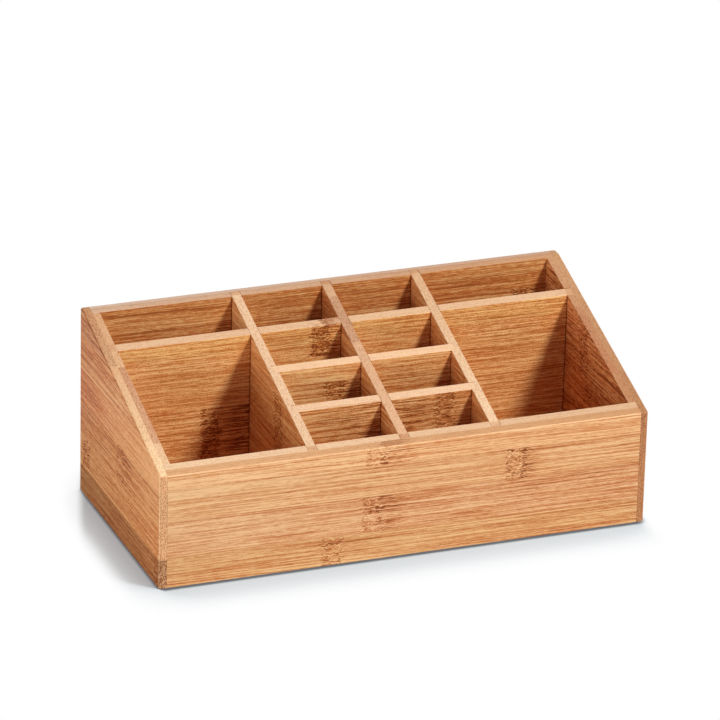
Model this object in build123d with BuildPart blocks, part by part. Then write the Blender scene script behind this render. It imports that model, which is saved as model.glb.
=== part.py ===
from build123d import *
import os

# Open bamboo organizer with a sloping top and twelve compartments.
# Millimetres. X runs to the right, Y to the back and Z up, seen from the front.
# The origin is the middle of the footprint, on the table.

# The whole box
width = 310.0
depth = 150.0
back_height = 120.0
front_height = 72.5
back_flat = 6.5  # level strip along the back, where the slope ends

# Board thicknesses
wall = 9.5  # sides, front and back
slat = 6.0  # dividers
floor = 5.0  # bottom board
floor_lift = 3.0  # table to the underside of the bottom board

# Compartments, clear between the boards
small_cell = 52.3  # width of the middle cells
back_row = 28.1  # depth of the row along the back
middle_row = 28.4  # depth of each of the two rows in front of it

# Joints
rebate_lip = 4.7  # what is left of a side board beside the end of the front board
housing = 4.5  # depth of the grooves in the thick boards
slat_housing = 3.0  # depth of the grooves in the dividers
glue = 0.1  # glue line round each joint

# Sanded edges
corner_round = 1.5  # upright outer corners
crease_round = 4.0  # where the slope meets the level strip
edge_round = 1.2  # outer edges along the top
foot_round = 0.8  # outer edges along the table
arris = 0.5  # inner edges along the top

# Faces that the boards line up with
left, right = -width / 2, width / 2
front, back = -depth / 2, depth / 2
inner_left, inner_right = left + wall, right - wall
inner_front, inner_back = front + wall, back - wall
rebate_left, rebate_right = left + rebate_lip, right - rebate_lip
floor_top = floor_lift + floor
slope_end = back - back_flat
slope = (back_height - front_height) / (slope_end - front)
above = 2 * back_height  # past the top of every board

# Where the dividers stand
divider_x = small_cell + slat
rear_y = inner_back - back_row - slat / 2
middle_y = rear_y - slat - middle_row
front_y = middle_y - slat - middle_row
slot = slat + 2 * glue  # width of every groove and lap that takes a divider

# Where a rectangle below starts: at its low corner, or at the middle of its low side
CORNER = (Align.MIN, Align.MIN)
STANDING = (Align.CENTER, Align.MIN)


def lap_at(y):
    """Height of the halved joint where two dividers cross at the distance y."""
    top = front_height + slope * (y - front)
    return (floor_top + top) / 2


def upward(face):
    """True for a face of the sloping or level top."""
    return face.normal_at().Z > 0.5


# Side view of the whole box, which gives every board its height
with BuildSketch(Plane.YZ) as side_view:
    with BuildLine():
        Polyline(
            (front, 0),
            (back, 0),
            (back, back_height),
            (slope_end, back_height),
            (front, front_height),
            close=True,
        )
    make_face()
    crease = side_view.vertices().sort_by_distance((slope_end, back_height))[0]
    fillet(crease, crease_round)

# The outside of the box, as it is sanded once it is glued up
with BuildPart() as outside:
    with BuildSketch(Plane.YZ.offset(left)):
        add(side_view.sketch_local)
    extrude(amount=width)
    fillet(outside.edges().filter_by(Axis.Z), corner_round)
    fillet(outside.faces().sort_by(Axis.Z)[0].edges(), foot_round)
    top = outside.faces().filter_by(upward)
    fillet(top.edges() & (outside.faces() - top).edges(), edge_round)

# Side board: rebated at both ends for the front and back, grooved for the floor,
# and housed for the long cross divider
with BuildPart() as left_side:
    with BuildSketch(Plane.YZ.offset(left)):
        add(side_view.sketch_local)
    extrude(amount=wall)
    top = left_side.faces().filter_by(upward)
    inner_rim = top.edges() & left_side.faces().sort_by(Axis.X)[-1].edges()
    fillet(inner_rim, arris)
    with BuildSketch(Plane.YZ.offset(rebate_left)):
        with Locations((front, 0)):
            Rectangle(wall, above, align=CORNER)
        with Locations((inner_back, 0)):
            Rectangle(wall, above, align=CORNER)
    extrude(amount=wall, mode=Mode.SUBTRACT)
    with BuildSketch(Plane.YZ.offset(inner_left - housing)):
        with Locations((0, floor_lift)):
            Rectangle(depth, floor + glue, align=STANDING)
        with Locations((rear_y, floor_lift)):
            Rectangle(slot, above, align=STANDING)
    extrude(amount=wall, mode=Mode.SUBTRACT)
    add(outside.part, mode=Mode.INTERSECT)

with BuildPart() as right_side:
    mirror(left_side.part, about=Plane.YZ)

# Front and back boards: their ends sit in the rebates of the sides
end_length = rebate_right - rebate_left - 2 * glue


def end_board(outer_y, inner_y):
    """Upright board across the box, grooved for the floor and housed for the dividers."""
    with BuildPart() as board:
        with BuildSketch(Plane.YZ.offset(-end_length / 2)):
            add(side_view.sketch_local)
            with Locations((min(outer_y, inner_y), 0)):
                Rectangle(wall, above, align=CORNER, mode=Mode.INTERSECT)
            with Locations((inner_y, floor_lift)):
                Rectangle(2 * housing, floor + glue, align=STANDING, mode=Mode.SUBTRACT)
        extrude(amount=end_length)
        top = board.faces().filter_by(upward)
        inner_rim = top.edges().filter_by(Axis.X).sort_by(lambda e: abs(e.center().Y - inner_y))[0]
        fillet(inner_rim, arris)
        with BuildSketch(Plane.XY.offset(floor_lift)):
            with Locations((-divider_x, inner_y), (0, inner_y), (divider_x, inner_y)):
                Rectangle(slot, 2 * housing)
        extrude(amount=above, mode=Mode.SUBTRACT)
        add(outside.part, mode=Mode.INTERSECT)
    return board


front_panel = end_board(front, inner_front)
back_panel = end_board(back, inner_back)

# Bottom board, let into the grooves of the four walls
with BuildPart() as base_panel:
    with BuildSketch(Plane.XY.offset(floor_lift)):
        into_grooves = 2 * (housing - glue)
        Rectangle(inner_right - inner_left + into_grooves, inner_back - inner_front + into_grooves)
    extrude(amount=floor)


def divider_blank(low_x, high_x, low_y, high_y):
    """Divider standing on the bottom board, cut to the slope and eased along its top."""
    with BuildPart() as blank:
        with BuildSketch(Plane.YZ.offset(low_x)):
            add(side_view.sketch_local)
            with Locations((low_y, floor_top)):
                Rectangle(high_y - low_y, above, align=CORNER, mode=Mode.INTERSECT)
        extrude(amount=high_x - low_x)
        top = blank.faces().filter_by(upward)
        along_x = high_x - low_x > high_y - low_y
        rim = top.edges() & (blank.faces() - top).edges()
        fillet(rim.filter_by(Axis.X, reverse=not along_x), arris)
    return blank.part


def long_divider(x, crossings):
    """Divider from front board to back board, with a lap cut from below at each crossing."""
    reach = inner_back + housing - glue
    with BuildPart() as board:
        add(divider_blank(x - slat / 2, x + slat / 2, -reach, reach))
        with BuildSketch(Plane.YZ.offset(x - slat)):
            for y in crossings:
                with Locations((y, floor_top)):
                    Rectangle(slot, lap_at(y) + glue - floor_top, align=STANDING)
        extrude(amount=2 * slat, mode=Mode.SUBTRACT)
    return board


# Long dividers: the outer two are also housed for the short cross dividers
centre_divider = long_divider(0, [rear_y, middle_y, front_y])

with BuildPart() as left_divider:
    add(long_divider(-divider_x, [rear_y]).part)
    inner_face = -divider_x + slat / 2
    with BuildSketch(Plane.XY.offset(floor_top)):
        with Locations((inner_face, middle_y), (inner_face, front_y)):
            Rectangle(2 * slat_housing, slot)
    extrude(amount=above, mode=Mode.SUBTRACT)

with BuildPart() as right_divider:
    mirror(left_divider.part, about=Plane.YZ)


def cross_divider(y, reach, crossings):
    """Divider across the box, with a lap cut from above at each crossing."""
    with BuildPart() as board:
        add(divider_blank(-reach, reach, y - slat / 2, y + slat / 2))
        with BuildSketch(Plane.XY.offset(lap_at(y))):
            with Locations(*[(x, y) for x in crossings]):
                Rectangle(slot, 2 * slat)
        extrude(amount=above, mode=Mode.SUBTRACT)
    return board


# Cross dividers: the rear one is housed in the sides, the short ones in the dividers
short_reach = divider_x - slat / 2 + slat_housing - glue
rear_cross_divider = cross_divider(rear_y, inner_right + housing - glue, [-divider_x, 0, divider_x])
middle_cross_divider = cross_divider(middle_y, short_reach, [0])
front_cross_divider = cross_divider(front_y, short_reach, [0])

boards = {
    "left_side": left_side,
    "right_side": right_side,
    "front_panel": front_panel,
    "back_panel": back_panel,
    "base_panel": base_panel,
    "left_divider": left_divider,
    "centre_divider": centre_divider,
    "right_divider": right_divider,
    "rear_cross_divider": rear_cross_divider,
    "middle_cross_divider": middle_cross_divider,
    "front_cross_divider": front_cross_divider,
}

os.makedirs("parts", exist_ok=True)
for name, board in boards.items():
    board.part.label = name
    export_step(board.part, f"parts/{name}.step")
    print(name, round(board.part.volume / 1000, 1), "cm3")
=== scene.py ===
import math
import bpy
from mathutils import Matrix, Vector


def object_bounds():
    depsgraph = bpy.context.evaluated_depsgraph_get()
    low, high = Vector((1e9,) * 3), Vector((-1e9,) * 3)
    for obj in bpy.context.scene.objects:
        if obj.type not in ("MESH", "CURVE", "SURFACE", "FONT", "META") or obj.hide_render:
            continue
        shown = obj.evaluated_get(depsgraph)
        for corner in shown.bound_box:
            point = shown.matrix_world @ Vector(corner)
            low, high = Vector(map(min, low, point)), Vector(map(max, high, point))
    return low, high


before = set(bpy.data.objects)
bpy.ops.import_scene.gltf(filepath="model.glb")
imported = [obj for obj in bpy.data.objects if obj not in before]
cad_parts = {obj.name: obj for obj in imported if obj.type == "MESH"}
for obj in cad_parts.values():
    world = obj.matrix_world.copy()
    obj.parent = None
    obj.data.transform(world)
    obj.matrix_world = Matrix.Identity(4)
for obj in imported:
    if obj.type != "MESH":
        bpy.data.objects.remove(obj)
cadLow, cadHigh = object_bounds()
print("frame loaded:", len(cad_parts), "boards")

mm = 0.001
nowhere = 900.0  # mm, the place of a mark that isn't there


# Places read off the frame, in mm
def facesOf(name, axis):  # the low and the high face of a board
    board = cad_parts[name]
    places = [(board.matrix_world @ Vector(corner))[axis] / mm for corner in board.bound_box]
    return [min(places), max(places)]


outerLeft, outerFront, _ = [place / mm for place in cadLow]
outerRight, outerBack, _ = [place / mm for place in cadHigh]
innerLeft, innerRight = facesOf("left_side", 0)[1], facesOf("right_side", 0)[0]
innerFront, innerBack = facesOf("front_panel", 1)[1], facesOf("back_panel", 1)[0]
longFaces, crossFaces = [], []  # both sides of each divider
for place in ("left", "centre", "right"):
    longFaces += facesOf(place + "_divider", 0)
for place in ("front", "middle", "rear"):
    crossFaces += facesOf(place + "_cross_divider", 1)
rearFaces = crossFaces[-2:]
plyMiddle = sum(facesOf("base_panel", 2)) / 2
outerPly = 4.8  # thickness of a wall's outer layer


# Node helpers
class Link:  # an output socket that can be written in sums and products
    def __init__(self, graph, socket):
        self.graph, self.socket = graph, socket

    def output(self, name):
        return Link(self.graph, self.socket.node.outputs[name])

    def __add__(self, other):
        return self.graph.calc("ADD", self, other)

    def __radd__(self, other):
        return self.graph.calc("ADD", other, self)

    def __sub__(self, other):
        return self.graph.calc("SUBTRACT", self, other)

    def __rsub__(self, other):
        return self.graph.calc("SUBTRACT", other, self)

    def __mul__(self, other):
        return self.graph.calc("MULTIPLY", self, other)

    def __rmul__(self, other):
        return self.graph.calc("MULTIPLY", other, self)

    def __truediv__(self, other):
        return self.graph.calc("DIVIDE", self, other)

    def __abs__(self):
        return self.graph.calc("ABSOLUTE", self)


class Graph:  # the nodes of one material or of the world
    def __init__(self, tree):
        self.tree = tree
        tree.nodes.clear()

    def node(self, kind, settings=None, inputs=None, out=0):
        made = self.tree.nodes.new(kind)
        for name, value in (settings or {}).items():
            if name == "stops":
                self.setStops(made.color_ramp.elements, value)
            else:
                setattr(made, name, value)
        for name, value in (inputs or {}).items():
            if isinstance(value, Link):
                self.tree.links.new(value.socket, made.inputs[name])
            else:
                made.inputs[name].default_value = value
        return Link(self, made.outputs[out]) if made.outputs else made

    def setStops(self, elements, stops):  # the colours of a ramp
        elements.remove(elements[1])
        elements[0].position, elements[0].color = stops[0][0], (*stops[0][1], 1)
        for position, colour in stops[1:]:
            elements.new(position).color = (*colour, 1)

    def calc(self, operation, *values):
        return self.node("ShaderNodeMath", {"operation": operation}, dict(enumerate(values)))

    def clip(self, value):  # kept between 0 and 1
        return self.calc("MINIMUM", self.calc("MAXIMUM", value, 0.0), 1.0)

    def nearest(self, place, marks):  # distance to the nearest of some marks
        gap = abs(place - marks[0])
        for mark in marks[1:]:
            gap = self.calc("MINIMUM", gap, abs(place - mark))
        return gap

    def point(self, place, reach):  # a place measured in cells of the given sizes
        x, y, z = [part / size for part, size in zip(place, reach)]
        return self.node("ShaderNodeCombineXYZ", {}, {0: x, 1: y, 2: z})

    def parts(self, vector):
        split = self.node("ShaderNodeSeparateXYZ", {}, {0: vector})
        return split, split.output("Y"), split.output("Z")

    def noise(self, place, reach, detail=2.0, roughness=0.5, distortion=0.0):  # swings about 0
        sockets = {"Vector": self.point(place, reach), "Scale": 1.0, "Detail": detail,
                   "Roughness": roughness, "Distortion": distortion}
        return self.node("ShaderNodeTexNoise", {}, sockets) - 0.5

    def cells(self, place, reach):  # distance to the middle of the nearest cell
        sockets = {"Vector": self.point(place, reach), "Scale": 1.0}
        return self.node("ShaderNodeTexVoronoi", {}, sockets)

    def ramp(self, value, low, high, start=0.0, end=1.0):  # a smooth step between two values
        sockets = {"Value": value, "From Min": low, "From Max": high, "To Min": start,
                   "To Max": end}
        return self.node("ShaderNodeMapRange", {"interpolation_type": "SMOOTHSTEP"}, sockets)

    def fall(self, value, low, high):  # 1 up to the low value and 0 from the high one on
        return self.ramp(value, low, high, 1.0, 0.0)

    def mix(self, factor, first, second, blend="MIX"):  # two colours
        settings = {"data_type": "RGBA", "blend_type": blend}
        return self.node("ShaderNodeMix", settings, {0: factor, 6: first, 7: second}, 2)

    def tint(self, colour, cast, amount=1.0):
        return self.mix(amount, colour, cast, "MULTIPLY")

    def scale(self, colour, amount):
        settings = {"operation": "SCALE"}
        return self.node("ShaderNodeVectorMath", settings, {0: colour, "Scale": amount})

    def pick(self, factor, first, second):  # three plain numbers, which may be negative
        sockets = {0: factor, 4: first, 5: second}
        return self.node("ShaderNodeMix", {"data_type": "VECTOR"}, sockets, 1)


def weigh(weights, spot):  # the sum of what is known at a point, each part times its weight
    terms = [spot[name] * weight for name, weight in weights.items()]
    return sum(terms[1:], terms[0])


# Bamboo: strips glued edge to edge, whose fibres show as streaks on a face and dots on an end
bamboo = {
    # Colours from the palest fibre to the darkest, on a face and on a sanded edge
    "face": [(0.0, (0.92, 0.60, 0.32)), (0.3, (0.76, 0.395, 0.175)),
             (0.62, (0.60, 0.21, 0.065)), (1.0, (0.24, 0.06, 0.016))],
    "raw": [(0.0, (0.95, 0.655, 0.40)), (0.3, (0.84, 0.525, 0.30)), (1.0, (0.40, 0.15, 0.06))],
    # Casts over them: a pinkish and a golden face, a pinkish edge and the tip of a divider
    "pink": (1.0, 0.95, 1.0), "golden": (0.99, 0.99, 0.88),
    "blush": (0.96, 0.81, 0.80, 1), "tip": (0.86, 0.74, 0.66, 1), "tipFade": 1.5,  # mm
    "blushWarm": (0.0, 0.3),  # full at the first warmth and gone at the second
    "light": 0.94, "dimmed": 0.56,  # brightness of a plain strip, and what a dark one loses
    # How far each kind of grain reaches along, across and through a board, in mm
    "strand": (40.0, 1.1, 1.1), "thread": (150.0, 0.95, 0.95), "dash": (5.0, 0.54, 0.54),
    "speck": (0.9, 0.5, 0.5), "mottle": (6.0, 2.2, 2.2), "pore": (5.0, 0.85, 0.85),
    "sway": (34.0, 14.0, 14.0), "curl": (3.0, 2.6, 2.6), "fleck": (14.0, 10.0, 10.0),
    "seamFade": (40.0, 300.0, 300.0), "streakPitch": 0.68,
    # Share of a cell that a mark fills, from where it is full to where it has gone
    "strandFill": (0.14, 0.36), "poreFill": (0.15, 0.62), "fleckFill": (0.02, 0.05),
    "strandDark": (0.35, 0.65),  # of the palest bundle, and what the darkest has more
    "swayWidth": 0.9, "curlWidth": 3.0, "curlEnd": (3.0, 14.0),  # mm, curls only near a node
    # A glue line, and the dark joint line in a corner between boards with painted corner shade, in
    # mm from their middle:
    # full at the first, gone at the second. A glue line comes and goes, and the dashes break up the
    # line in a corner.
    "seamEdge": (0.064, 0.256), "cornerShadeEdge": (0.18, 0.72),
    "seamShown": (-0.2, 0.2), "cornerShadeDark": (0.6, 1.5),
    "strewn": (700.0, 300.0, 300.0),  # mm, how far apart two strips start in the pattern
    "innerSeed": 50.0,  # keeps the strips of the inner layer unlike those of the outer one
    "leanLength": 100.0,  # mm, in which a strip darkens by its lean
    "softLimit": 0.25,  # how gently the darkest lines come up to their limit
}
# The ring at a node, in mm: half is from its middle to the two columns of curls, and each pair is
# where a part of it starts to come or go and where that is done. The rest are sizes in the pattern.
nodeRing = {
    "half": 4.9, "band": (-1.0, 2.0), "column": (0.8, 2.6),
    "flank": (1.0, 4.0), "flankEnd": (5.0, 19.0), "patchEdge": (-0.10, 0.06),
    "patch": (5.0, 4.0, 4.0), "swirl": (2.4, 0.95, 0.95), "ragged": (8.0, 2.4, 2.4),
    "dark": (0.14, 3.6), "curled": (0.4, 0.5),  # an even share and a patterned one
}
# How far a surface has turned to the end or to the top, from 0 to 1: where an edge begins and where
# it is full. On the inner layer the top begins sooner.
turned = {
    "cut": (0.14, 0.30), "upright": (0.5, 0.8), "sanded": (0.5, 0.85), "sooner": 0.15,
    # arris: where the rounded arris between a face and its top begins and ends; painted light is
    # laid there
    "arris": (0.03, 0.2), "paintedArrisLightEnd": (0.4, 0.7),
}
# How strongly each thing shows: in the darkness of a face, in the dots of a sanded edge, in the
# height of the surface and in its roughness
onFace = {"dim": 0.4, "shade": 0.16, "arris": 1.0, "marks": 0.6, "seam": 0.3, "fleck": 0.4,
          "corner": 1.1}
onEdge = {"dash": 1.0, "speck": 0.8, "seam": 0.1, "marks": 0.28, "shade": 0.4}
onRelief = {"streak": 0.5, "dash": 0.35, "strand": -0.5, "seam": -0.8}
onRoughness = {"lines": 0.14, "edge": 0.16, "marks": 0.1}
edgeDots = {
    "plain": 0.10, "streak": 0.6,
    "cut": (0.30, 2.6), "upright": (0.45, 4.2),  # pores of a plain strip, and more in a dark one
}
surface = {"nodeRelief": 0.5, "bump": 0.2, "bumpHeight": 0.12 * mm, "specular": 0.2, "rough": 0.46}


# One strip, up to the height top in mm. A tone under 1 is darker and redder, and warm goes from 0,
# pinkish, to 1, golden. A node mark of the given strength stands at node, with a darker stretch on
# its high side for a flank over 0 and on its low side for one under 0. The strip darkens by lean
# along the board, and bold is how strong its lines are.
def stave(top, tone=1.0, warm=0.5, node=nowhere, flank=0.0, strength=1.0, lean=0.0, bold=1.0):
    return {"top": top, "look": (tone, warm), "node": (node, flank, strength),
            "habit": (lean, bold, 0.0)}  # the last number only fills the vector


def chooseStave(graph, across, staves, seed):  # the strip at a height and the nearest seam
    rows = []
    for number, strip in enumerate(staves):
        rows.append(((*strip["look"], seed + number), strip["node"], strip["habit"]))
    chosen = [graph.pick(0.0, first, first) for first in rows[0]]
    for below, row in zip(staves, rows[1:]):
        above = graph.calc("GREATER_THAN", across, below["top"])
        chosen = [graph.pick(above, lower, upper) for lower, upper in zip(chosen, row)]
    return chosen, graph.nearest(across, [strip["top"] for strip in staves])


def staveAt(graph, board, across, through):  # the same, in the outer or the inner layer
    chosen, gap = chooseStave(graph, across, board["staves"], board["seed"])
    if not board["innerStaves"]:
        return chosen, gap, 1.0
    innerSeed = board["seed"] + bamboo["innerSeed"]
    innerChosen, innerGap = chooseStave(graph, across, board["innerStaves"], innerSeed)
    depth = through - board["plyAt"]
    inside = graph.calc("GREATER_THAN", depth * board["inward"], 0.0)
    gap = graph.calc("MINIMUM", gap * (1 - inside) + innerGap * inside, abs(depth))
    chosen = [graph.pick(inside, outer, inner) for outer, inner in zip(chosen, innerChosen)]
    return chosen, gap, inside


def placeOn(graph, board):  # where a point is on its board, and what the strip there is like
    here = graph.node("ShaderNodeTexCoord", out="Object")
    x, y, z = [part * (1 / mm) for part in graph.parts(here)]
    along, across, through = {"X": (x, z, y), "Y": (y, z, x), "flat": (x, y, z)}[board["fibre"]]
    across = across - along * board["tilt"]
    (look, node, habit), gap, inside = staveAt(graph, board, across, through)
    tone, warm, _ = graph.parts(look)
    nodeAt, flank, strength = graph.parts(node)
    lean, bold, _ = graph.parts(habit)
    shift = graph.parts(graph.node("ShaderNodeTexWhiteNoise", {}, {"Vector": look}, "Color"))
    own = [place + part * far  # no two strips alike
           for place, part, far in zip((along, across, through), shift, bamboo["strewn"])]
    past = along - nodeAt + graph.noise(own, nodeRing["ragged"], 2.0) * board["ragged"]
    boxLength = 2 * (outerBack if board["fibre"] == "Y" else outerRight)
    return {
        "along": along, "fromEnd": along / boxLength + 0.5, "gap": gap, "inside": inside,
        "own": own, "past": past, "flank": flank, "strength": strength,
        "dim": 1 - tone, "warm": warm, "lean": lean, "bold": bold,
    }


def fibres(graph, board, spot):  # each kind of grain as a number
    own = spot["own"]
    nearNode = graph.fall(abs(spot["past"]), *bamboo["curlEnd"])
    sway = graph.noise(own, bamboo["sway"], 1.0) * bamboo["swayWidth"]
    curl = graph.noise(own, bamboo["curl"], 1.0)
    bent = (own[0], own[1] + sway + curl * nearNode * bamboo["curlWidth"], own[2] + sway)
    bundles = graph.cells(bent, bamboo["strand"])
    palest, more = bamboo["strandDark"]
    dark = palest + more * graph.parts(bundles.output("Color"))[0]
    streak = (board["lineLength"], bamboo["streakPitch"], bamboo["streakPitch"])
    return {
        "strand": graph.fall(bundles, *bamboo["strandFill"]) * dark,
        "pore": graph.fall(graph.cells(own, bamboo["pore"]), *bamboo["poreFill"]),
        "streak": graph.noise(bent, streak, 1.0, 0.6),
        "dash": graph.noise(bent, bamboo["dash"], 2.0, 0.6),
        "thread": graph.noise(bent, bamboo["thread"], 1.0, 0.6),
        "speck": graph.noise(own, bamboo["speck"], 0.0),
        "mottle": graph.noise(own, bamboo["mottle"], 2.0, 0.6, 0.8),
        "curl": curl,
    }


def nodeMarks(graph, board, spot):  # the ragged ring where the cane had a joint
    half, reach = nodeRing["half"], abs(spot["past"])
    band = graph.fall(reach, *[half + edge for edge in nodeRing["band"]])
    columns = graph.fall(abs(reach - half), *nodeRing["column"])
    patches = graph.noise(spot["own"], nodeRing["patch"], 0.0)
    patches = graph.ramp(patches, *nodeRing["patchEdge"])
    swirl = graph.noise(spot["own"], nodeRing["swirl"], 1.0, 0.5, 1.3)
    (dark, swirled), (even, patched) = nodeRing["dark"], nodeRing["curled"]
    curled = graph.clip(columns + band * (even + patched * patches))
    marks = (dark + swirled * swirl) * curled
    side = spot["past"] * spot["flank"]
    shade = graph.ramp(side, *nodeRing["flank"]) * graph.fall(side, *nodeRing["flankEnd"])
    strength = spot["strength"]
    return {"band": band, "marks": marks * strength, "shade": shade * strength}


def edges(graph, board, spot):  # how far a point is on cut fibres, an end, a sanded edge, an arris
    normalX, normalY, normalZ = graph.parts(graph.node("ShaderNodeTexCoord", out="Normal"))
    facing = abs(normalY if board["fibre"] == "Y" else normalX)
    cut = graph.ramp(facing, *turned["cut"])
    sooner = turned["sooner"] * spot["inside"]  # on the inner layer
    sanded = graph.ramp(normalZ, *[turn - sooner for turn in turned["sanded"]])
    edge = cut if board["fibre"] == "flat" else graph.calc("MAXIMUM", cut, sanded)
    # painted light on the rounded arris: above 0 painted shade, below 0 a painted highlight,
    # changing along the board
    arris = graph.ramp(normalZ, *turned["arris"]) * graph.fall(normalZ, *turned["paintedArrisLightEnd"])
    low, high = board["arris"]
    return {
        "cut": cut, "upright": graph.ramp(facing, *turned["upright"]), "edge": edge,
        "arris": arris * (low + spot["fromEnd"] * (high - low)),
    }


def seams(graph, board, spot):  # glue lines, flecks and the dark line in a corner between boards
    seam = graph.fall(spot["gap"], *bamboo["seamEdge"])
    shown = graph.noise(spot["own"], bamboo["seamFade"], 1.0)
    # the line in a corner is partly a dark joint line and partly painted shade where the boards
    # meet, on the inner layer only
    corner = graph.fall(graph.nearest(spot["along"], board["joints"]), *bamboo["cornerShadeEdge"])
    even, broken = bamboo["cornerShadeDark"]
    return {
        "seam": seam * graph.ramp(shown, *bamboo["seamShown"]),
        "fleck": graph.fall(graph.cells(spot["own"], bamboo["fleck"]), *bamboo["fleckFill"]),
        "corner": corner * spot["inside"] * (even + broken * spot["dash"]),
    }


def faceLines(graph, board, spot):  # the grain of a face, with a limit to its darkest lines
    lines = weigh(board["grain"], spot)
    limits = board["deepest"], bamboo["softLimit"]
    return {"lines": graph.calc("SMOOTH_MIN", lines, *limits)}


def faceColour(graph, board, spot):
    lines = board["contrast"] * spot["bold"] * spot["lines"]
    lean = spot["along"] * spot["lean"] / bamboo["leanLength"]
    darkness = board["base"] + lines + lean + weigh(onFace, spot)
    darkness = darkness + board["mottle"] * spot["mottle"]
    darkness = darkness + board["ring"] * spot["band"] * spot["strength"]
    darkness = darkness + spot["shade"] * (spot["streak"] + spot["dash"])
    colour = graph.node("ShaderNodeValToRGB", {"stops": bamboo["face"]}, {0: darkness})
    casts = []
    for cast in (bamboo["pink"], bamboo["golden"]):
        casts.append((*[part * share for part, share in zip(cast, board["tint"])], 1))
    return graph.tint(colour, graph.mix(spot["warm"], *casts))


def rawColour(graph, board, spot):  # a sanded edge or a sawn end
    dots = edgeDots["plain"] + weigh(onEdge, spot)
    dots = dots + edgeDots["streak"] * spot["streak"] * (1 - spot["cut"])
    for kind in ("cut", "upright"):
        even, more = edgeDots[kind]
        dots = dots + spot["pore"] * spot[kind] * (even + more * spot["dim"] * spot["dim"])
    colour = graph.node("ShaderNodeValToRGB", {"stops": bamboo["raw"]}, {0: dots})
    layers = []
    for low, high in board["edges"]:
        layers.append(graph.mix(spot["fromEnd"], (*low, 1), (*high, 1)))
    layers = graph.mix(spot["inside"], *layers)
    colour = graph.tint(colour, graph.mix(spot["upright"], layers, (*board["end"], 1)))
    blush = graph.fall(spot["warm"], *bamboo["blushWarm"])
    tip = graph.ramp(abs(spot["along"]), board["tipAt"], board["tipAt"] + bamboo["tipFade"])
    return graph.tint(graph.tint(colour, bamboo["blush"], blush), bamboo["tip"], tip)


def bambooMaterial(name, board):
    material = bpy.data.materials.new(name)
    material.use_nodes = True
    graph = Graph(material.node_tree)
    spot = placeOn(graph, board)
    for layer in (fibres, nodeMarks, edges, seams, faceLines):
        spot.update(layer(graph, board, spot))
    wood = graph.mix(spot["edge"], faceColour(graph, board, spot), rawColour(graph, board, spot))
    wood = graph.scale(wood, bamboo["light"] - bamboo["dimmed"] * spot["dim"])
    ring = surface["nodeRelief"] * (spot["band"] * spot["curl"] - spot["marks"])
    bump = graph.node("ShaderNodeBump", {}, {
        "Strength": surface["bump"], "Distance": surface["bumpHeight"],
        "Height": weigh(onRelief, spot) + ring * (1 - spot["edge"]),
    })
    shader = graph.node("ShaderNodeBsdfPrincipled", {}, {
        "Base Color": wood, "Roughness": surface["rough"] + weigh(onRoughness, spot),
        "Normal": bump, "Specular IOR Level": surface["specular"],
    })
    graph.node("ShaderNodeOutputMaterial", {}, {"Surface": shader})
    return material


# The boards. fibre is the way the fibres run, "flat" for a lying board with fibres along X. The two
# layers of a board meet at plyAt, inward is the side of the inner one, and joints are the places
# along the board where others meet its inner face.
plain = (1.0, 1.0, 1.0)
plainGrain = {"strand": 0.25, "streak": 1.45, "thread": 0.8, "dash": 1.15, "speck": 0.6}
plainBoard = {
    "tilt": -0.010,  # rise of the seams along the board
    "base": 0.385, "contrast": 1.25, "deepest": 0.30,  # darkness of a face, and of its lines
    "grain": plainGrain, "lineLength": 42.0, "mottle": 0.0,
    "ring": 0.08, "ragged": 10.0,  # darkness of the band at a node, and how ragged it is in mm
    "tint": (1.08, 1.05, 0.96),
    # Of the sanded top, from the low end to the high end: tints of the outer and the inner layer,
    # and the painted light on the arris: painted shade above 0, a painted highlight below 0
    "edges": ((plain, plain), (plain, plain)), "arris": (0.0, 0.0),
    "end": plain, "tipAt": nowhere,  # tint of an upright end, and where the tip of a top begins
    "innerStaves": [],
}
leftSide = {
    **plainBoard, "fibre": "Y", "tilt": -0.003, "seed": 10.0,
    "plyAt": outerLeft + 5.0, "inward": 1.0, "joints": rearFaces,
    "base": 0.25, "contrast": 1.0, "deepest": 1.0, "lineLength": 55.0,
    "grain": {**plainGrain, "thread": 1.3, "dash": 1.4, "speck": 0.5},
    "mottle": 0.25, "ring": 0.03, "ragged": 6.0, "tint": (1.03, 0.89, 0.74),
    "edges": (((1.17, 1.20, 1.13), (0.82, 0.58, 0.44)), ((1.04, 1.00, 0.94), (0.80, 0.65, 0.54))),
    # painted shade on the rounded arris, growing toward the back end
    "arris": (0.0, 0.6), "end": (0.99, 0.83, 0.66),
    "staves": [
        stave(18.3, 0.45, 0.95, node=-71, strength=1.3, lean=-0.12, bold=1.1),
        stave(39.0, 0.92, 0.7, node=62.5, strength=1.9, lean=-0.08),
        stave(61.0, 0.87, 0.65, node=-2, flank=-0.6, strength=1.3, lean=0.15),
        stave(81.9, 1.0, 0.45, lean=0.30, bold=0.9),
        stave(103.8, 0.90, 0.55, lean=0.17),
        stave(130.0, 0.69, 0.45),
    ],
    "innerStaves": [
        stave(18.3, 0.9), stave(39.0, 0.9), stave(60.0, 0.92), stave(81.3, 0.96),
        stave(103.2, 0.75, 0.06), stave(130.0),
    ],
}
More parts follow.
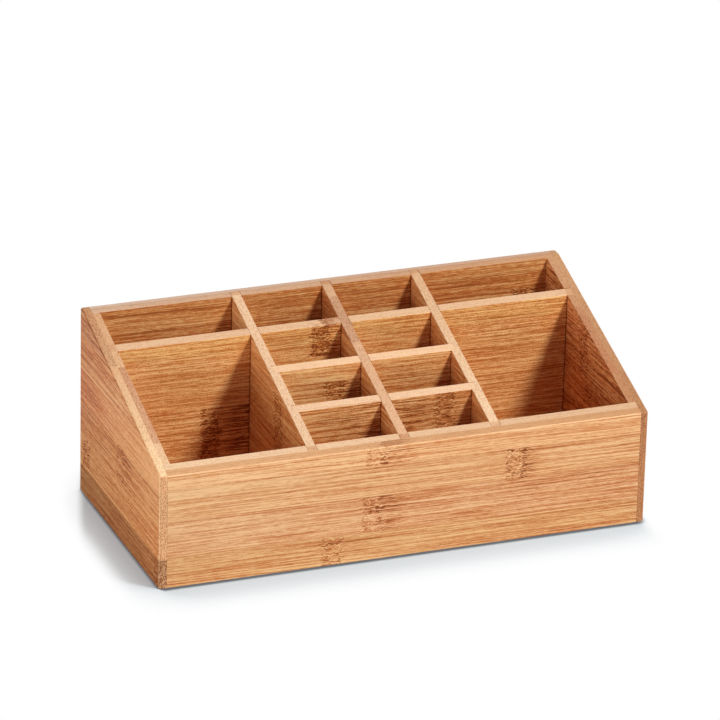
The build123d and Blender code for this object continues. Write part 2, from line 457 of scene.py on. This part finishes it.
rightSide = {
    **plainBoard, "fibre": "Y", "tilt": -0.005, "seed": 20.0,
    "plyAt": outerRight - outerPly, "inward": -1.0, "joints": rearFaces,
    "base": 0.46, "contrast": 1.6, "deepest": 0.40, "grain": {**plainGrain, "dash": 1.4},
    "mottle": 0.6, "tint": (1.08, 0.95, 0.80),
    "edges": (((0.59, 0.41, 0.29), (0.70, 0.56, 0.45)), ((0.62, 0.42, 0.31), (0.73, 0.57, 0.48))),
    "end": (0.64, 0.43, 0.29),
    "staves": [
        stave(20.0, 0.9, 0.4, bold=0.7), stave(41.3, 0.94, 0.4, bold=0.7),
        stave(62.6, 0.9, 0.3, bold=0.7), stave(84.0, 0.83, 0.4, node=-20, bold=0.7),
        stave(105.0, 0.9, 0.4, bold=0.7), stave(130.0, 0.94, 0.4, bold=0.7),
    ],
    "innerStaves": [
        stave(25.0, 0.82), stave(46.0, 0.82),
        stave(67.0, 0.91, 0.4, node=-6, strength=0.6, lean=-0.40),
        stave(84.0, 0.88, 0.4, node=2, strength=1.6, lean=-0.36),
        stave(104.0, 0.84, 0.14, node=4, strength=1.5, lean=-0.1), stave(130.0, 0.90),
    ],
}
frontPanel = {
    **plainBoard, "fibre": "X", "tilt": -0.0125, "seed": 30.0,
    "plyAt": outerFront + outerPly, "inward": 1.0, "joints": longFaces,
    "base": 0.25, "contrast": 0.84, "deepest": 1.0, "lineLength": 60.0,
    "grain": {**plainGrain, "thread": 1.3, "dash": 1.1, "speck": 0.3},
    "ring": 0.04, "ragged": 6.0, "tint": (1.02, 1.0, 0.95),
    "edges": (((0.81, 0.65, 0.51), (0.65, 0.49, 0.36)), ((0.98, 0.97, 0.96), (0.77, 0.69, 0.64))),
    # a painted highlight along the rounded top arris
    "arris": (-0.3, -0.2),
    "staves": [
        stave(18.2, 0.855, 0.75, node=-46.6, strength=1.1, lean=0.02),
        stave(40.9, 0.92, 0.25, node=-21.8, flank=0.7, strength=1.1, lean=0.05),
        stave(61.0, 0.955, 0.5, node=70, flank=1.0, strength=1.4, lean=0.05),
        stave(80.0, 1.06, 0.4, node=-20, flank=0.6, strength=1.2, lean=0.04),
    ],
    "innerStaves": [stave(25.0), stave(46.0), stave(80.0, 1.04, 0.5)],
}
backPanel = {
    **plainBoard, "fibre": "X", "tilt": -0.008, "seed": 40.0,
    "plyAt": outerBack - outerPly, "inward": -1.0, "joints": longFaces,
    "contrast": 1.1, "lineLength": 60.0,
    "grain": {**plainGrain, "thread": 1.3, "dash": 1.5, "speck": 0.4}, "tint": (1.08, 0.98, 0.74),
    "edges": (((0.93, 0.94, 1.08), (0.77, 0.67, 0.69)), ((0.88, 0.82, 0.85), (0.74, 0.56, 0.45))),
    "staves": [
        stave(18.0, 0.95), stave(39.3, 1.0, 0.3, node=60),
        stave(60.6, 0.97, 0.7, node=-85, flank=1.0), stave(82.0, 1.02, 0.4),
        stave(103.0, 0.96, 0.6, node=12), stave(130.0, 0.92, 0.3),
    ],
    "innerStaves": [
        stave(25.0, 0.9), stave(46.0, 0.9), stave(67.0, 0.9), stave(81.0, 0.85, 0.5),
        stave(102.0, 0.80, 0.4, node=129.6, strength=2.2),
        stave(112.5, 0.88, 0.5, lean=0.05), stave(130.0, 0.81, 0.5, lean=-0.06),
    ],
}
basePanel = {
    **plainBoard, "fibre": "flat", "tilt": 0.0, "seed": 50.0,
    "plyAt": plyMiddle, "inward": 1.0, "joints": longFaces,
    "contrast": 0.95, "tint": (0.98, 1.02, 0.98),
    "staves": [
        stave(-54.0, 0.76), stave(-32.7, 0.80, 0.4, node=-100), stave(-11.4, 0.76, 0.6, node=44),
        stave(10.0, 0.80, 0.5), stave(31.2, 0.78, 0.3, node=-30),
        stave(52.5, 0.80, 0.7, node=110), stave(80.0, 0.76),
    ],
    "innerStaves": [
        stave(-57.0, 0.76), stave(-35.7, 0.78, 0.4), stave(-14.4, 0.80, 0.6, node=-118),
        stave(6.8, 0.76, 0.5), stave(28.0, 0.80, 0.3, node=88), stave(49.5, 0.78, 0.7),
        stave(80.0, 0.80),
    ],
}
leftDivider = {
    **plainBoard, "fibre": "Y", "tilt": -0.006, "seed": 60.0,
    "joints": [innerFront, *rearFaces, innerBack], "tipAt": innerBack + 0.2,
    "tint": (1.05, 1.08, 1.0), "edges": ((plain, plain), ((1.0, 0.98, 0.98), (0.97, 0.94, 0.92))),
    "staves": [
        stave(25.0, 0.95), stave(46.0, 0.95, 0.4),
        stave(67.0, 0.97, 0.5, node=-19, strength=1.6, lean=-0.30),
        stave(88.0, 0.94, 0.7, node=-17.6, strength=1.6, lean=-0.15), stave(130.0, 0.98),
    ],
}
centreDivider = {
    **plainBoard, "fibre": "Y", "seed": 70.0, "base": 0.47,
    "joints": [innerFront, *crossFaces, innerBack], "tipAt": innerBack + 0.2,
    "tint": (1.04, 0.98, 0.84), "edges": ((plain, plain), ((0.90, 0.78, 0.73), (0.77, 0.67, 0.61))),
    "staves": [
        stave(25.0, 0.95), stave(46.0, 0.95), stave(67.0, 0.95), stave(88.0, 0.98),
        stave(102.2, 1.0), stave(116.0, 0.77, 0.16), stave(130.0, 1.0),
    ],
}
rightDivider = {
    **plainBoard, "fibre": "Y", "tilt": -0.004, "seed": 80.0, "base": 0.46,
    "joints": [innerFront, *rearFaces, innerBack], "tipAt": innerBack + 0.2,
    "tint": (1.04, 0.98, 0.84), "edges": ((plain, plain), ((1.02, 1.04, 1.06), (0.81, 0.72, 0.64))),
    "staves": [stave(25.0), stave(46.0), stave(67.0), stave(88.0), stave(130.0, 1.0, 0.4)],
}
rearCrossDivider = {
    **plainBoard, "fibre": "X", "seed": 90.0, "ring": 0.20,
    "joints": [innerLeft, *longFaces, innerRight], "tipAt": innerRight - 0.7,
    "tint": (1.12, 1.08, 0.87), "edges": ((plain, plain), ((0.88, 0.81, 0.77), (0.83, 0.76, 0.71))),
    "staves": [
        stave(20.5, 0.98), stave(41.5, 0.98, 0.5, node=-86.4, flank=0.2, strength=1.3),
        stave(61.8, 1.0, 0.5, node=-86.4, flank=0.2, strength=1.3),
        stave(87.6, 1.07, 0.6, lean=0.02),
        # the darker stretch on the high side of this node lies in the shaded right end of the small
        # cell: partly node colour, partly painted shade deepening that shadow
        stave(97.0, 1.11, 0.6, node=-17, flank=0.9, strength=1.6, lean=0.05),
        stave(130.0, 1.06, 1.0, node=-17, flank=0.9, strength=1.6, lean=0.05),
    ],
}
middleCrossDivider = {
    **plainBoard, "fibre": "X", "tilt": -0.012, "seed": 100.0, "ring": 0.18,
    "joints": longFaces[1:-1],
    "tint": (1.08, 1.02, 0.86), "edges": ((plain, plain), ((0.96, 0.91, 0.88), (0.93, 0.86, 0.82))),
    "staves": [
        stave(46.0, 0.96), stave(67.0, 0.96),
        # the darker stretch on the high side of this node lies in the shaded right end of the small
        # cell: partly node colour, partly painted shade deepening that shadow
        stave(85.5, 0.98, 0.8, node=-20, flank=0.7, strength=1.2, lean=0.12),
        stave(130.0, 1.12, 0.7, lean=0.16),
    ],
}
frontCrossDivider = {
    **plainBoard, "fibre": "X", "seed": 110.0, "ring": 0.16,
    "joints": longFaces[1:-1],
    "tint": (1.08, 1.0, 0.84), "edges": ((plain, plain), ((0.97, 0.93, 0.93), (0.95, 0.90, 0.89))),
    "staves": [
        stave(46.0, 0.96), stave(63.0, 0.96),
        stave(85.0, 0.99, 0.7, node=38, flank=-0.2, strength=1.1, lean=0.14), stave(130.0, 1.04),
    ],
}
boards = {
    "left_side": leftSide, "right_side": rightSide, "front_panel": frontPanel,
    "back_panel": backPanel, "base_panel": basePanel, "left_divider": leftDivider,
    "centre_divider": centreDivider, "right_divider": rightDivider,
    "rear_cross_divider": rearCrossDivider, "middle_cross_divider": middleCrossDivider,
    "front_cross_divider": frontCrossDivider,
}
for nodeName, board in boards.items():
    material = bambooMaterial("bamboo_" + nodeName, board)
    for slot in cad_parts[nodeName].material_slots:
        slot.material = material
print("bamboo on", len(boards), "boards")

# Floor: white to the camera, with painted shadow round the foot of the box: an occlusion mask mixes
# in a darker diffuse floor, which also holds the lamps' real shadow, and a dark glowing contact
# line, trimmed by place. Each shadow has a reach, an amount, and how open the floor is where it is
# darkest and where it ends.
floorLook = {
    "half": 6.0, "colour": (0.85, 0.85, 0.85, 1), "shade": (0.455, 0.54, 0.59, 1),
    "contactShadowColour": (0.09, 0.10, 0.11, 1),
    "shadow": {"reach": 40 * mm, "amount": 0.70, "open": (0.60, 1.0)},
    "contact": {"reach": 5 * mm, "amount": 0.9, "open": (0.52, 0.70)},
    "wider": 0.22, "widerFrom": (-1 * mm, 3 * mm),  # a broader contact line in front
    "leeEdge": (-5 * mm, 5 * mm),  # no shadow past the right side, where the window is
    "leftEdge": (-28 * mm, -12 * mm),  # it ends sooner on the left
    "backTurn": (0.95, 0.31), "backDim": (-4 * mm, 3 * mm), "backEnd": (2 * mm, 14 * mm),
    "backLeft": 0.2,
}


def gathered(graph, shadow, wider=0.0):  # the shadow near the box
    # painted shadow: an occlusion mask sets how much darker floor shows near the box
    settings, sockets = {"samples": 12}, {"Distance": shadow["reach"]}
    openFloor = graph.node("ShaderNodeAmbientOcclusion", settings, sockets, "AO")
    return graph.fall(openFloor, *[edge + wider for edge in shadow["open"]]) * shadow["amount"]


floorMesh = bpy.data.meshes.new("floor")
half = floorLook["half"]
corners = [(-half, -half, 0), (half, -half, 0), (half, half, 0), (-half, half, 0)]
floorMesh.from_pydata(corners, [], [(0, 1, 2, 3)])
floor = bpy.data.objects.new("floor", floorMesh)
bpy.context.scene.collection.objects.link(floor)
floorMaterial = bpy.data.materials.new("floor_white")
floorMaterial.use_nodes = True
graph = Graph(floorMaterial.node_tree)
floorX, floorY, _ = graph.parts(graph.node("ShaderNodeTexCoord", out="Object"))
lee = graph.fall(floorX, *[cadHigh[0] + edge for edge in floorLook["leeEdge"]])
short = graph.ramp(floorX, *[cadLow[0] + edge for edge in floorLook["leftEdge"]])
turnX, turnY = floorLook["backTurn"]
behind = (cadLow[0] - floorX) * turnX + (floorY - cadHigh[1]) * turnY
beside = graph.ramp(behind, *floorLook["backDim"], 1.0, floorLook["backLeft"])
beside = beside * graph.fall(behind, *floorLook["backEnd"]) * lee
wide = [cadLow[0] + edge for edge in floorLook["widerFrom"]]
wide = graph.ramp(floorX, *wide, 0.0, floorLook["wider"])
nearBox = gathered(graph, floorLook["shadow"]) * beside * short
paintedContactShadow = gathered(graph, floorLook["contact"], wide) * beside
diffuse = graph.node("ShaderNodeBsdfDiffuse", {}, {"Color": floorLook["colour"]})
shaded = graph.node("ShaderNodeBsdfDiffuse", {}, {"Color": floorLook["shade"]})
glow = graph.node("ShaderNodeEmission", {}, {"Color": (1, 1, 1, 1), "Strength": 1.0})
# a dark glowing sheet laid as the painted contact shadow along the foot
dark = graph.node("ShaderNodeEmission", {}, {"Color": floorLook["contactShadowColour"], "Strength": 1.0})
seen = graph.node("ShaderNodeMixShader", {}, {0: nearBox, 1: glow, 2: shaded})
seen = graph.node("ShaderNodeMixShader", {}, {0: paintedContactShadow, 1: seen, 2: dark})
rays = graph.node("ShaderNodeLightPath", out="Is Camera Ray")
floorSurface = graph.node("ShaderNodeMixShader", {}, {0: rays, 1: diffuse, 2: seen})
graph.node("ShaderNodeOutputMaterial", {}, {"Surface": floorSurface})
floorMesh.materials.append(floorMaterial)
print("floor laid")

# Light: a dim bluish room that looks white, a soft window from the right, in front and above, and
# a weak low lamp from the left
room = {"strength": 0.135, "colour": (0.80, 0.98, 1.32, 1), "seenColour": (1, 1, 1, 1)}
aim = Vector((0.0, 0.0, 0.05))
key = {"name": "key", "place": (1.17, -1.27, 2.05), "size": 0.55, "power": 69.0,
       "colour": (1, 1, 1)}
fill = {"name": "fill", "place": (-1.5, -0.3, 0.32), "size": 0.6, "power": 9.8,
        "colour": (1, 0.86, 0.74)}
world = bpy.data.worlds.new("room")
bpy.context.scene.world = world
world.use_nodes = True
graph = Graph(world.node_tree)
paths = graph.node("ShaderNodeLightPath")
white = graph.calc("MAXIMUM", paths.output("Is Camera Ray"), paths.output("Is Glossy Ray"))
white = graph.calc("MAXIMUM", white, paths.output("Is Transmission Ray"))
sky = graph.node("ShaderNodeBackground", {}, {
    "Color": graph.mix(white, room["colour"], room["seenColour"]),
    "Strength": room["strength"] + (1 - room["strength"]) * white,
})
graph.node("ShaderNodeOutputWorld", {}, {"Surface": sky})

for lamp in (key, fill):
    lampData = bpy.data.lights.new(lamp["name"], "AREA")
    lampData.shape, lampData.size, lampData.energy = "DISK", lamp["size"], lamp["power"]
    lampData.color = lamp["colour"]
    lampObject = bpy.data.objects.new(lamp["name"], lampData)
    bpy.context.scene.collection.objects.link(lampObject)
    lampObject.location = lamp["place"]
    lampObject.rotation_euler = (aim - Vector(lamp["place"])).to_track_quat("-Z", "Y").to_euler()
print("lights set")

# Camera at the photograph's place, looking down on the box from the left
view = {"place": (-1.07922, -2.74746, 1.35463), "lens": 266.782, "sensor": 36.0,
        "turn": (66.89768, -1.34335, -20.82397)}  # degrees
cameraData = bpy.data.cameras.new("camera")
cameraData.lens, cameraData.sensor_width = view["lens"], view["sensor"]
camera = bpy.data.objects.new("camera", cameraData)
bpy.context.scene.collection.objects.link(camera)
camera.location = view["place"]
camera.rotation_euler = [math.radians(angle) for angle in view["turn"]]
bpy.context.scene.camera = camera
bpy.context.scene.view_settings.view_transform = "Standard"
print("camera set")
